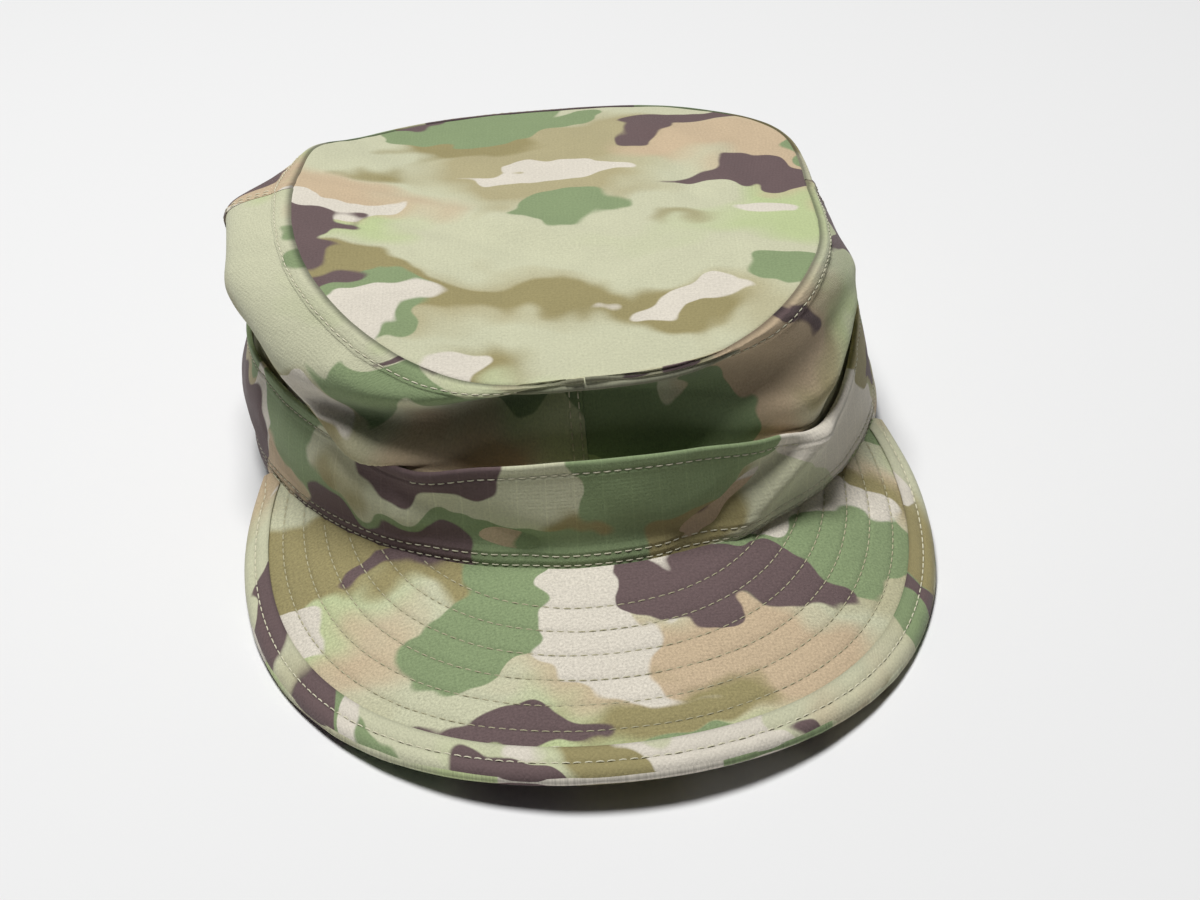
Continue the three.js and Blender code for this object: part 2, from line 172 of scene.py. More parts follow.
TOP_FOLDS = named_rows(FOLD_COLUMNS, (
    (-88, 0.62, 10, 0.42, 0.22, -0.15),
    (-92, 0.50, 20, 0.26, 0.16, 0.08),
    (150, 0.80, 96, 0.72, 0.22, 0.16),
    (142, 0.66, 92, 0.56, 0.16, -0.10),
    (-74, 0.92, -64, 0.62, 0.07, 0.06),
    (-66, 0.90, -54, 0.60, 0.06, -0.05),
    (-56, 0.94, -42, 0.66, 0.07, 0.05),
    (-100, 0.92, -96, 0.55, 0.08, 0.06),
    (-88, 0.90, -80, 0.66, 0.06, -0.05),
    (128, 0.94, 112, 0.66, 0.08, 0.07),
    (100, 0.92, 84, 0.70, 0.07, -0.05),
    (20, 0.55, 60, 0.60, 0.20, 0.07),
    (34, 0.90, 52, 0.74, 0.08, -0.05),
))
BAND_FOLDS = named_rows(FOLD_COLUMNS, (
    (24, 0.10, 42, 0.92, 0.16, 0.30),
    (42, 0.92, 60, 1.00, 0.16, 0.24),
    (15, 0.14, 34, 0.84, 0.14, -0.22),
    (-60, 0.90, -34, 0.50, 0.20, 0.12),
    (-32, 0.74, -12, 0.26, 0.20, -0.14),
    (-88, 0.60, -60, 0.30, 0.12, -0.07),
    (-72, 0.95, -66, 0.35, 0.07, -0.06),
    (-28, 0.29, 20, 0.29, 0.13, -0.11),
    (100, 0.40, 150, 0.70, 0.20, 0.10),
    (-160, 0.70, -110, 0.40, 0.20, 0.10),
))


# Shapes in level millimetres


def section(name, angle):
    """One column of SECTIONS at any angles, on a smooth curve that closes on itself."""
    angles = SECTIONS["angle"]
    values = SECTIONS[name]
    wrapped = angles[0] + np.mod(angle - angles[0], 360)
    knots = np.concatenate([[angles[-1] - 360], angles, [angles[0] + 360, angles[1] + 360]])
    heights = np.concatenate([[values[-1]], values, values[:2]])
    at = np.clip(np.searchsorted(knots, wrapped, side="right") - 1, 1, len(angles))
    before, start, end, after = (knots[at + k] for k in (-1, 0, 1, 2))
    low, here, there, high = (heights[at + k] for k in (-1, 0, 1, 2))
    share = (wrapped - start) / (end - start)
    leaving = (there - low) / (end - before) * (end - start)
    arriving = (high - here) / (after - start) * (end - start)
    square = share**2
    cube = share**3
    return (
        (2 * cube - 3 * square + 1) * here
        + (cube - 2 * square + share) * leaving
        + (3 * square - 2 * cube) * there
        + (cube - square) * arriving
    )


def xyz(x, y, z):
    """Three arrays as one array of points."""
    return np.stack(np.broadcast_arrays(x, y, z), axis=-1).astype(float)


def oval(half_width, half_length, squareness, angle):
    """Points of an oval at angles from its front; a squareness of 2 is an ellipse."""
    sine = np.sin(np.radians(angle))
    cosine = np.cos(np.radians(angle))
    power = 2 / squareness
    x = half_width * np.sign(sine) * np.abs(sine) ** power
    y = -half_length * np.sign(cosine) * np.abs(cosine) ** power
    return xyz(x, y, 0)


def unit(vectors):
    return vectors / np.maximum(np.linalg.norm(vectors, axis=-1, keepdims=True), 1e-9)


def hem_outward(angle):
    """The level direction straight out of the hem."""
    turn = np.radians(angle)
    return unit(xyz(np.sin(turn) * HEM_HALF_LENGTH, -np.cos(turn) * HEM_HALF_WIDTH, 0))


def from_hem(angle, out, height):
    """Places given by how far they stand out from the hem and how high they are."""
    points = oval(HEM_HALF_WIDTH, HEM_HALF_LENGTH, 2, angle) + hem_outward(angle) * np.asarray(out)[..., None]
    points[..., 2] = height
    return points


def bump(distance, width):
    """A smooth hill of height 1 round a distance of 0."""
    return np.exp(-((distance / width) ** 2))


def step_up(distance, width):
    """A smooth step from 0 to 1 round a distance of 0."""
    return 0.5 + 0.5 * np.tanh(distance / width)


def signed(angle):
    return np.mod(np.asarray(angle, float) + 180, 360) - 180


def crown_map(angle, share):
    """The crown wall laid flat, in millimetres."""
    return xyz(np.radians(signed(angle)) * HEM_HALF_WIDTH, (CROWN_RISE - BAND_HEIGHT) * np.asarray(share), 0)


def band_map(angle, share):
    return xyz(np.radians(signed(angle)) * HEM_HALF_WIDTH, BAND_HEIGHT * np.asarray(share), 0)


def top_map(angle, share):
    return oval(TOP_HALF_WIDTH, TOP_HALF_LENGTH, TOP_SQUARENESS, angle) * np.asarray(share)[..., None]


def fold_height(folds, flat_map, angle, share):
    """How far the folds of a table move places outwards."""
    place = flat_map(angle, share)
    total = np.zeros(place.shape[:-1])
    for row in range(len(folds["width"])):
        value = {name: column[row] for name, column in folds.items()}
        start = flat_map(value["startAngle"], value["startShare"])
        along = flat_map(value["endAngle"], value["endShare"]) - start
        reach = np.clip(((place - start) @ along) / (along @ along), 0, 1)
        distance = np.linalg.norm(place - start - reach[..., None] * along, axis=-1)
        total = total + FOLD_DEPTH * value["height"] * bump(distance, BAND_HEIGHT * value["width"])
    return total


def wrinkles(place, size, seed):
    """Small irregular wrinkles between -1 and 1, from a few crossed waves."""
    x = place[..., 0] / size
    y = place[..., 1] / size
    bend = np.sin(0.37 * x + 1.3 * seed) + np.sin(0.51 * y - 0.7 * seed)
    first = np.sin(1.1 * x + 0.6 * y + 1.7 * bend + seed)
    second = np.sin(-0.7 * x + 1.3 * y + 1.3 * bend + 2.1 * seed)
    third = np.sin(2.3 * x + 1.9 * y + 0.9 * bend + 3.3 * seed)
    return (first + 0.8 * second + 0.4 * third) / 2.2


def stitch_groove(distance):
    """The narrow dent that a row of stitches pulls into the cloth."""
    return -0.24 * bump(distance, 0.8) - 0.14 * bump(distance, 0.3)


def edge_height(angle):
    return BAND_HEIGHT * section("edge", angle)


def seam_height(angle):
    return CROWN_RISE * section("seam", angle)


def band_out(angle, share):
    lean = section("lean", angle) * share
    belly = section("belly", angle) * np.sin(np.pi * share) ** 2
    return FOLD_DEPTH * (lean + belly)


def band_surface(angle, height):
    """The outside of the band, at heights above the hem."""
    edge = edge_height(angle)
    share = height / edge
    points = from_hem(angle, band_out(angle, share), height)
    free = np.sin(np.pi * np.clip(share, 0, 1)) ** 0.5
    detail = fold_height(BAND_FOLDS, band_map, angle, share) * free
    detail = detail + 0.3 * wrinkles(band_map(angle, share), 6, 1.0) * free
    below_edge = edge - height
    detail = detail + stitch_groove(below_edge - BAND_TOP_ROW)
    detail = detail + BAND_HEM_RAISE * step_up(BAND_TOP_ROW + 1 - below_edge, 0.4)
    for row in BAND_FOOT_ROWS:
        detail = detail + stitch_groove(height - row)
    detail = detail + BAND_FOOT_RAISE * step_up(BAND_FOOT_STRIP - height, 0.35)
    return points + hem_outward(angle) * detail[..., None]


# Where the top seam stands up in a corner: the angle, how far to both sides, and how far out and up
CORNERS = named_rows(("angle", "spread", "out", "up"), ((-119, 14, 2.6, 3.2),))


def seam_line(angle):
    """The seam between the crown wall and the top panel."""
    points = oval(TOP_HALF_WIDTH, TOP_HALF_LENGTH, TOP_SQUARENESS, angle)
    points[..., 1] -= TOP_SET_FORWARD
    points += hem_outward(angle) * (FOLD_DEPTH * section("seamOut", angle))[..., None]
    points[..., 2] = seam_height(angle)
    for k in range(len(CORNERS["angle"])):
        near = bump(signed(angle - CORNERS["angle"][k]), CORNERS["spread"][k])
        points += hem_outward(angle) * (near * CORNERS["out"][k])[..., None]
        points[..., 2] += near * CORNERS["up"][k]
    return points


def catmull_rom(bends, share):
    """A centripetal Catmull-Rom curve through bends, each an array of points of the shape of share."""
    count = len(bends) - 1
    stacked = np.stack([2 * bends[0] - bends[1], *bends, 2 * bends[-1] - bends[-2]])
    place = np.clip(share, 0, 1) * count
    index = np.minimum(place.astype(int), count - 1)
    weight = (place - index)[..., None]
    p0, p1, p2, p3 = (np.take_along_axis(stacked, (index + k)[None, ..., None], axis=0)[0] for k in range(4))

    def gap(start, end):
        return np.sqrt(np.maximum(np.linalg.norm(end - start, axis=-1, keepdims=True), 1e-4))

    gap0 = gap(p0, p1)
    gap1 = gap(p1, p2)
    gap2 = gap(p2, p3)
    leaving = ((p1 - p0) / gap0 - (p2 - p0) / (gap0 + gap1) + (p2 - p1) / gap1) * gap1
    arriving = ((p2 - p1) / gap1 - (p3 - p1) / (gap1 + gap2) + (p3 - p2) / gap2) * gap1
    square = -3 * p1 + 3 * p2 - 2 * leaving - arriving
    cube = 2 * p1 - 2 * p2 + leaving + arriving
    return p1 + leaving * weight + square * weight**2 + cube * weight**3


# Where the crown wall hangs over the band's edge: the angle, how far to both sides, and how far out and down
LIPS = named_rows(("angle", "spread", "out", "drop"), ((-40, 7, 2.8, 3.8), (42, 6, 1.0, 2.5)))

# In front, the crown wall sinks behind the band's edge: from and to which angle, and by how much
SUNK_FROM = -23
SUNK_TO = 32
SUNK_DEPTH = 5.5

# Where the crown wall turns in under its upper part: the share of the way up, how far it reaches above and
# beneath that, and how deep it is in millimetres
UNDERCUT = named_rows(("angle", "share", "above", "beneath", "depth"), (
    (-60, 0.44, 0.13, 0.12, 0.0),
    (-53, 0.46, 0.12, 0.10, 2.0),
    (-47, 0.48, 0.12, 0.10, 7.0),
    (-38, 0.49, 0.13, 0.12, 9.0),
    (-28, 0.50, 0.17, 0.17, 9.5),
    (-16, 0.56, 0.22, 0.22, 9.5),
    (0, 0.68, 0.30, 0.24, 8.5),
    (20, 0.70, 0.26, 0.24, 8.0),
    (40, 0.68, 0.18, 0.20, 5.5),
    (56, 0.64, 0.15, 0.16, 2.0),
    (72, 0.60, 0.15, 0.16, 0.0),
))


def undercut(angle, share):
    """How far the crown wall turns in under its upper part."""
    turned = signed(angle)
    columns = ("share", "above", "beneath", "depth")
    centre, above, beneath, depth = (np.interp(turned, UNDERCUT["angle"], UNDERCUT[name]) for name in columns)
    width = np.where(share > centre, above, beneath)
    return -depth * bump(share - centre, width) * (1 - bump(1 - share, 0.04))


def lip_shift(angle, share):
    """How far places on the crown wall move where it hangs over the band's edge."""
    out = np.zeros(share.shape)
    drop = np.zeros(share.shape)
    low = bump(share - 0.22, 0.11)
    for k in range(len(LIPS["angle"])):
        near = low * bump(signed(angle - LIPS["angle"][k]), LIPS["spread"][k])
        out = out + near * LIPS["out"][k]
        drop = drop + near * LIPS["drop"][k]
    return hem_outward(angle) * out[..., None] - xyz(0, 0, 1) * drop[..., None]


def crown_base(angle, share):
    """The crown wall without its seams and wrinkles: inside the band below share 0, free above it."""
    edge = edge_height(angle)
    rise = seam_height(angle) - edge
    inside = BAND_WALL + CLEARANCE
    bends = [from_hem(angle, FOLD_DEPTH * section("lean", angle) - inside, edge)]
    for name in ("tuck", "roll", "shoulder"):
        out = FOLD_DEPTH * section(name + "Out", angle) - inside
        bends.append(from_hem(angle, out, edge + rise * section(name + "Up", angle)))
    bends.append(seam_line(angle))
    free = catmull_rom(bends, share) + lip_shift(angle, share)
    hidden = from_hem(angle, band_out(angle, 1 + share) - inside, edge * (1 + share))
    points = np.where((share > 0)[..., None], free, hidden)
    in_front = step_up(signed(angle) - SUNK_FROM, 4) * step_up(SUNK_TO - signed(angle), 4)
    points[..., 2] -= SUNK_DEPTH * in_front * bump(share - 0.08, 0.13)
    return points


def crown_share(angle, below):
    """The shares of places on the crown wall that lie at distances below its top seam. angle has one value
    for each column of below."""
    shares = np.linspace(0, 1, 121)
    grid_angle, grid_share = np.meshgrid(angle, shares)
    points = crown_base(grid_angle, grid_share)
    steps = np.linalg.norm(np.diff(points, axis=0), axis=-1)
    result = np.empty(below.shape)
    lengths = np.empty(len(angle))
    for column in range(len(angle)):
        up = np.concatenate([[0], np.cumsum(steps[:, column])])
        lengths[column] = up[-1]
        result[:, column] = np.interp(up[-1] - below[:, column], up, shares)
    return result, lengths


def beside_seam(angle, share, seam):
    """How far places on the crown wall lie to the right of an upright seam, seen from outside."""
    offset = crown_base(angle, share) - crown_base(np.full(angle.shape, float(seam)), share)
    return np.sign(signed(angle - seam)) * np.linalg.norm(offset, axis=-1)


def crown_surface(angle, share, below):
    """The outside of the crown wall with its folds, wrinkles and felled seams."""
    shown = np.clip(share, 0, 1)
    fade = np.sin(np.pi * shown)
    detail = fold_height(CROWN_FOLDS, crown_map, angle, shown) * fade
    detail = detail + 0.5 * wrinkles(crown_map(angle, shown), 7, 2.0) * fade + undercut(angle, shown)
    detail = detail + SEAM_STRIP_RAISE * step_up(SEAM_STRIP - below, 0.4) - SEAM_PINCH * bump(below, 0.5)
    detail = detail + stitch_groove(below - SEAM_STRIP_ROW)
    detail = detail + 0.15 * wrinkles(crown_map(angle, shown), 2.5, 3.0) * bump(below - SEAM_STRIP, 4)
    for seam in CROWN_SEAMS:
        beside = beside_seam(angle, share, seam)
        detail = detail + FELL_RAISE * step_up(-beside, 0.15) * step_up(beside + FELL_WIDTH, 0.35)
        for row in FELL_ROWS:
            detail = detail + 0.8 * stitch_groove(beside + row)
    return crown_base(angle, share) + hem_outward(angle) * (detail * (share > 0))[..., None]


def top_surface(angle, share):
    """The upper side of the top panel, from its middle at share 0 to its seam at share 1."""
    seam = seam_line(angle)
    middle = np.mean([seam_height(np.array(float(at))) for at in (0, 90, 180, 270)])
    points = seam * share[..., None]
    points[..., 1] = (seam[..., 1] + TOP_SET_FORWARD) * share - TOP_SET_FORWARD
    crease = fold_height(TOP_FOLDS, top_map, angle, share) * (1 - share**4)
    crease = crease + 0.42 * wrinkles(top_map(angle, share), 9, 4.0) * (1 - share**8)
    from_rim = (1 - share) * (TOP_HALF_WIDTH + TOP_HALF_LENGTH) / 2
    crease = crease + 0.2 * wrinkles(top_map(angle, share), 3, 5.0) * bump(from_rim - 6, 6)
    level = middle + (seam[..., 2] - middle) * share**2
    points[..., 2] = level + TOP_DOME * (1 - share**2) + crease - RIM_PINCH * bump(from_rim, 0.7)
    return points


def visor_inner_edge(place):
    """The visor's inner edge, just clear of the band, at places from -1 at its left corner to 1."""
    angle = place * VISOR_CORNER_ANGLE
    first_row = 1 / 3
    slope = band_out(angle, first_row) / (edge_height(angle) * first_row)
    return from_hem(angle, np.maximum(slope * VISOR_THICKNESS, 0) + CLEARANCE, 0)


def visor_outline(place):
    """The visor's outline: an oval front, then a slight curve in from its widest line to its corners."""
    corner = oval(HEM_HALF_WIDTH, HEM_HALF_LENGTH, 2, VISOR_CORNER_ANGLE)
    half_width = HEM_HALF_WIDTH + VISOR_FLARE
    widest_line = -HEM_HALF_LENGTH + VISOR_WIDEST_BEHIND_FRONT
    distance = np.abs(place)
    front_angle = np.clip(90 * place / VISOR_FRONT_SHARE, -90, 90)
    front = oval(half_width, VISOR_REACH + VISOR_WIDEST_BEHIND_FRONT, VISOR_SQUARENESS, front_angle)
    front[..., 1] += widest_line
    back = np.clip((distance - VISOR_FRONT_SHARE) / (1 - VISOR_FRONT_SHARE), 0, 1)
    x = half_width + (corner[0] + VISOR_CORNER_WIDTH - half_width) * back**2
    side = xyz(np.sign(place) * x, widest_line + (corner[1] - widest_line) * back, 0)
    return np.where((distance <= VISOR_FRONT_SHARE)[..., None], front, side)


def visor_drop(points):
    """How far the outline hangs below the hem."""
    corner = oval(HEM_HALF_WIDTH, HEM_HALF_LENGTH, 2, VISOR_CORNER_ANGLE)
    arch = (corner[1] + HEM_HALF_LENGTH) * (points[..., 0] / corner[0]) ** 2
    return math.tan(math.radians(VISOR_PITCH)) * (arch - HEM_HALF_LENGTH - points[..., 1])


def visor_length(place):
    return np.linalg.norm(visor_outline(place) - visor_inner_edge(place), axis=-1)


def visor_middle(place, inward):
    """The middle of the visor's thickness, at distances in from its outline."""
    edge = visor_outline(place)
    foot = visor_inner_edge(place)
    share = inward / visor_length(place)
    points = edge + (foot - edge) * share[..., None]
    points[..., 2] = VISOR_THICKNESS / 2 - visor_drop(edge) * (1 - share)
    return points


VISOR_ROWS = [VISOR_FIRST_ROW + VISOR_ROW_SPACING * row for row in range(VISOR_ROW_COUNT)]
VISOR_TOP = 0.8
VISOR_FOOT = 1.6


def visor_face(place, inward, side):
    """The visor's upper face for side 1, quilted by its stitch rows, or its lower face for side -1."""
    points = visor_middle(place, inward)
    quilt = 0.12 * wrinkles(points, 5, 6.0)
    for row in VISOR_ROWS:
        quilt = quilt - QUILT_DENT * bump(inward - row, 1.1) - QUILT_CREASE * bump(inward - row, 0.32)
    points[..., 2] += VISOR_TOP + quilt if side > 0 else -VISOR_FOOT - quilt
    return points


def binding_profile(count):
    """The section of the binding's outside, from its lower inner edge round the rim to its upper one, as
    distances inward and heights, and the same for its inside."""
    outside = (VISOR_TOP + BINDING_STAND, VISOR_FOOT + BINDING_STAND)
    middle = (outside[0] - outside[1]) / 2
    radius = (outside[0] + outside[1]) / 2
    legs = np.linspace(BINDING_WIDTH, radius, 14)
    turn = np.linspace(-math.pi / 2, math.pi / 2, count)[1:-1]
    paths = []
    for offset in (0, BINDING_CLOTH - 0.1):
        small = radius - offset
        lower = [(inward, middle - small) for inward in legs]
        rim = [(radius - small * math.cos(t), middle + small * math.sin(t)) for t in turn]
        upper = [(inward, middle + small) for inward in legs[::-1]]
        paths.append(np.array([*lower, *rim, *upper]))
    return paths


def binding_side(place, profile):
    """One side of the binding, from its section's distances inward and heights."""
    grid_place = np.repeat(place[None], len(profile), axis=0)
    room = (visor_length(grid_place) - CLEARANCE) / BINDING_WIDTH
    inward = profile[:, :1] * np.minimum(room, 1)
    points = visor_middle(grid_place, inward)
    along = path_lengths(visor_outline(place))
    dent = BINDING_ROW_DENT * bump(inward - BINDING_ROW, 0.8)
    pucker = 0.1 * np.sin(along[None] / 1.3) * bump(inward - BINDING_ROW, 2.4)
    points[..., 2] += profile[:, 1:] + np.sign(profile[:, 1:]) * (pucker - dent)
    return points


# The surface that the cap rests on


def lowest(points, tilt):
    return (points[..., 2] * math.cos(tilt) - points[..., 1] * math.sin(tilt)).min()


def resting_tilt():
    """The angle at which the binding and the back of the hem touch the same level surface."""
    rim = visor_middle(np.linspace(-1, 1, 45), np.zeros(45))
    rim[..., 2] -= VISOR_THICKNESS / 2 + CLEARANCE + BINDING_WALL
    heel = xyz(0, HEM_HALF_LENGTH, 0)
    low, high = 0, math.pi / 6
    for _ in range(40):
        middle = (low + high) / 2
        if lowest(rim, middle) < lowest(heel, middle):
            low = middle
        else:
            high = middle
    return middle, lowest(heel, middle) + PRESSED_FLAT


def find_placing():
    """The tilt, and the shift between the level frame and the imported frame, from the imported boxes."""
    tilt, floor = resting_tilt()
    low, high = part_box("visor_binding")
    shift_x = (low.x + high.x) / 2 / MM
    shift_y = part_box("band")[1].y / MM - HEM_HALF_LENGTH * math.cos(tilt)
    return tilt, floor, shift_x, shift_y


def set_down(points):
    """Level millimetres as metres in the frame, on the surface that the cap rests on."""
    tilt, floor, shift_x, shift_y = PLACING
    x = points[..., 0] + shift_x
    y = points[..., 1] * math.cos(tilt) + points[..., 2] * math.sin(tilt) + shift_y
    z = points[..., 2] * math.cos(tilt) - points[..., 1] * math.sin(tilt) - floor
    return xyz(x, y, np.maximum(z, 0)) * MM


# Meshes


def grid_normals(points, closed):
    """Outward normals of a grid of points, rows going up or inwards and columns counter-clockwise."""
    if closed:
        around = np.roll(points, -1, axis=1) - np.roll(points, 1, axis=1)
    else:
        around = np.gradient(points, axis=1)
    return unit(np.cross(around, np.gradient(points, axis=0)))


def round_edge(start, end, beyond, count):
    """Rows of points on a half circle from one edge of a wall to the other."""
    middle = (start + end) / 2
    radius = (start - end) / 2
    reach = unit(beyond) * np.linalg.norm(radius, axis=-1, keepdims=True)
    turns = [math.pi * (k + 1) / (count + 1) for k in range(count)]
    return [middle + radius * math.cos(turn) + reach * math.sin(turn) for turn in turns]


EDGE_ROWS = 3


def wall_sections(outer, inner):
    """Closed sections through a wall with rounded edges, from the grids of its two sides."""
    top_edge = round_edge(outer[-1], inner[-1], outer[-1] - outer[-2], EDGE_ROWS)
    foot_edge = round_edge(inner[0], outer[0], outer[0] - outer[1], EDGE_ROWS)
    return np.concatenate([outer, np.stack(top_edge), inner[::-1], np.stack(foot_edge)])


def grid_faces(rows, columns, wrap_rows, wrap_columns):
    """Quads over a grid whose rows and columns may join up with their first."""
    faces = []
    for row in range(rows if wrap_rows else rows - 1):
        up = (row + 1) % rows
        for column in range(columns if wrap_columns else columns - 1):
            side = (column + 1) % columns
            low, high = row * columns, up * columns
            faces.append((low + column, low + side, high + side, high + column))
    return faces


def end_caps(outer_rows, rows, columns):
    """Faces that close the two upright ends of a wall, between its outer and its inner side."""
    faces = []
    for column, flip in ((0, False), (columns - 1, True)):
        loops = []
        for row in range(outer_rows - 1):
            across = rows - EDGE_ROWS - 1 - row
            loops.append([row, row + 1, across - 1, across])
        loops.append(list(range(outer_rows - 1, outer_rows + EDGE_ROWS + 1)))
        loops.append([*range(rows - EDGE_ROWS - 1, rows), 0])
        for loop in loops:
            faces.append(tuple(row * columns + column for row in (loop[::-1] if flip else loop)))
    return faces


def mesh_piece(name, vertices, faces, uvs, material, shade=None):
    """A smooth mesh that rides on the cap. uvs holds one pair for each vertex, and shade how far each is
    darkened by painted shade in seams, in the grooves of rows of stitches, at edges and in the front recess."""
    mesh = bpy.data.meshes.new(name)
    mesh.from_pydata(vertices.tolist(), [], faces)
    layer = mesh.uv_layers.new(name="cloth")
    corners = np.zeros(len(mesh.loops), np.int32)
    mesh.loops.foreach_get("vertex_index", corners)
    layer.data.foreach_set("uv", uvs[corners].astype(np.float32).ravel())
    if shade is not None:
        darkened = mesh.attributes.new("shade", "FLOAT", "POINT")
        darkened.data.foreach_set("value", shade.astype(np.float32).ravel())
    mesh.polygons.foreach_set("use_smooth", [True] * len(mesh.polygons))
    mesh.set_sharp_from_angle(angle=math.radians(60))
    mesh.materials.append(material)
    piece = bpy.data.objects.new(name, mesh)
    bpy.context.scene.collection.objects.link(piece)
    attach(piece, "root")
    return piece


def flat_cloth(around, up, turn, corner):
    """Cloth coordinates in millimetres, turned by an angle in degrees and moved to a panel's own place."""
    cosine = math.cos(math.radians(turn))
    sine = math.sin(math.radians(turn))
    u = around * cosine - up * sine + corner[0]
    v = around * sine + up * cosine + corner[1]
    return np.stack([u, v], axis=-1)


def over_both_sides(outer, inner):
    """Values for closed sections through a wall, from those of its two sides."""
    top_edge = outer[-1:].repeat(EDGE_ROWS, 0)
    foot_edge = outer[:1].repeat(EDGE_ROWS, 0)
    return np.concatenate([outer, top_edge, inner, foot_edge])


def wall_piece(name, outer, inner, cloth, shade, material, closed):
    """A wall as one closed mesh, from the grids of its two sides, its cloth coordinates and its painted
    shade.
    """
    sections = wall_sections(outer, inner)
    if closed:
        sections = np.concatenate([sections, sections[:, :1]], axis=1)
        shade = np.concatenate([shade, shade[:, :1]], axis=1)
    uv = over_both_sides(cloth, cloth[::-1])
    shades = over_both_sides(shade, 0 * shade)
    rows, columns = sections.shape[:2]
    faces = grid_faces(rows, columns, True, False)
    if not closed:
        faces += end_caps(len(outer), rows, columns)
    vertices = set_down(sections).reshape(-1, 3)
    return mesh_piece(name, vertices, faces, (uv * MM).reshape(-1, 2), material, shades)


def up_lengths(grid):
    """How far each place of a grid lies up its column from the column's foot."""
    steps = np.linalg.norm(np.diff(grid, axis=0), axis=-1)
    return np.concatenate([np.zeros((1, grid.shape[1])), np.cumsum(steps, axis=0)])


def path_lengths(points):
    """How far each point of a path lies along it."""
    return np.concatenate([[0], np.cumsum(np.linalg.norm(np.diff(points, axis=0), axis=-1))])


def hem_length(angle):
    """Distance along the hem from its front, in millimetres, positive towards +X."""
    turns = np.linspace(-360, 360, 1441)
    lengths = path_lengths(oval(HEM_HALF_WIDTH, HEM_HALF_LENGTH, 2, turns))
    return np.interp(angle, turns, lengths - lengths[len(turns) // 2])


# Stitches


# The rings of thread along one stitch: their place as a share of its length, their radius as a share of the
# thread's, and how high they stand in millimetres
STITCH_RINGS = named_rows(("place", "radius", "rise"), (
    (0.00, 0.45, -0.16),
    (0.14, 0.95, 0.08),
    (0.50, 1.00, 0.20),
    (0.86, 0.95, 0.08),
    (1.00, 0.45, -0.16),
))


def stitch_mesh(name, lines, material):
    """A piece of thread stitches, each a low arch with sunk ends, along lines of points with normals."""
    turns = np.arange(THREAD_SIDES) * 2 * math.pi / THREAD_SIDES
    vertices = []
    for points, normals in lines:
        lengths = path_lengths(points)
        count = int(lengths[-1] / STITCH_PITCH)
        starts = np.arange(count) * lengths[-1] / count
        at = starts[:, None] + STITCH_START + STITCH_RINGS["place"] * STITCH_LENGTH
        centres = np.stack([np.interp(at, lengths, points[:, k]) for k in range(3)], axis=-1)
        normal = unit(np.stack([np.interp(at, lengths, normals[:, k]) for k in range(3)], axis=-1))
        tangent = unit(centres[:, -1:] - centres[:, :1])
        side = unit(np.cross(tangent, normal))
        centres = centres + normal * STITCH_RINGS["rise"][:, None]
        ring = np.cos(turns)[:, None] * side[:, :, None] + np.sin(turns)[:, None] * normal[:, :, None]
        radius = THREAD_RADIUS * STITCH_RINGS["radius"][:, None, None]
        vertices.append((centres[:, :, None] + ring * radius).reshape(-1, 3))
    vertices = np.concatenate(vertices)
    rings = len(STITCH_RINGS["place"])
    each = rings * THREAD_SIDES
    faces = []
    for first in range(0, len(vertices), each):
        for ring in range(rings - 1):
            low = first + ring * THREAD_SIDES
            high = low + THREAD_SIDES
            for k in range(THREAD_SIDES):
                side = (k + 1) % THREAD_SIDES
                faces.append((low + k, high + k, high + side, low + side))
        faces.append(tuple(first + k for k in range(THREAD_SIDES)))
        faces.append(tuple(first + each - 1 - k for k in range(THREAD_SIDES)))
    uvs = np.zeros((len(vertices), 2))
    piece = mesh_piece(name, set_down(vertices), faces, uvs, material)


def line_on(surface, first, second, step):
    """Points and outward normals along a line of a surface given by two parameters."""
    points = surface(first, second)
    normal = np.cross(surface(first + step[0], second) - points, surface(first, second + step[1]) - points)
    return points, unit(normal)


# Materials


def node(tree, kind, inputs=None, **settings):
    """Adds a shader node. inputs gives values or other nodes' output sockets by input name or number."""
    made = tree.nodes.new("ShaderNode" + kind)
    for name, value in settings.items():
        setattr(made, name, value)
    for key, value in (inputs or {}).items():
        if isinstance(value, bpy.types.NodeSocket):
            tree.links.new(value, made.inputs[key])
        else:
            made.inputs[key].default_value = value
    return made


def math_out(tree, operation, first, second=0.5, third=0.5):
    return node(tree, "Math", {0: first, 1: second, 2: third}, operation=operation).outputs[0]


def colour(red, green, blue):
    """An 8-bit screen colour as linear light."""
    channels = []
    for value in (red, green, blue):
        share = value / 255
        channels.append(share / 12.92 if share <= 0.04045 else ((share + 0.055) / 1.055) ** 2.4)
    return (*channels, 1)


def smooth_step(tree, value, low, high):
    inputs = {"Value": value, "From Min": low, "From Max": high}
    return node(tree, "MapRange", inputs, interpolation_type="SMOOTHSTEP").outputs["Result"]


def mix(tree, share, first, second):
    """The second colour over the first by a share."""
    made = node(tree, "Mix", data_type="RGBA")
    for socket, value in ((made.inputs[0], share), (made.inputs[6], first), (made.inputs[7], second)):
        if isinstance(value, bpy.types.NodeSocket):
            tree.links.new(value, socket)
        else:
            socket.default_value = value
    return made.outputs[2]


TINT = {
    "tan": colour(172, 163, 126),
    "pale": colour(196, 196, 167),
    "lime": colour(183, 195, 145),
    "clay": colour(196, 175, 145),
    "green": colour(133, 150, 110),
    "olive": colour(150, 140, 98),
    "cream": colour(214, 207, 193),
    "dark": colour(103, 86, 86),
}

# The printed blobs, each kind over those before it: the tint, the size in metres, how many times wider than
# high, the place in the noise, the level of the noise at which they start, and how soft their edges are
BLOBS = (
    ("clay", 0.050, 1.6, 11.7, 0.60, 0.06),
    ("olive", 0.036, 1.9, 17.9, 0.61, 0.03),
    ("green", 0.034, 2.3, 5.3, 0.585, 0.006),
    ("cream", 0.028, 2.0, 27.9, 0.63, 0.006),
    ("dark", 0.030, 2.2, 31.1, 0.605, 0.006),
)

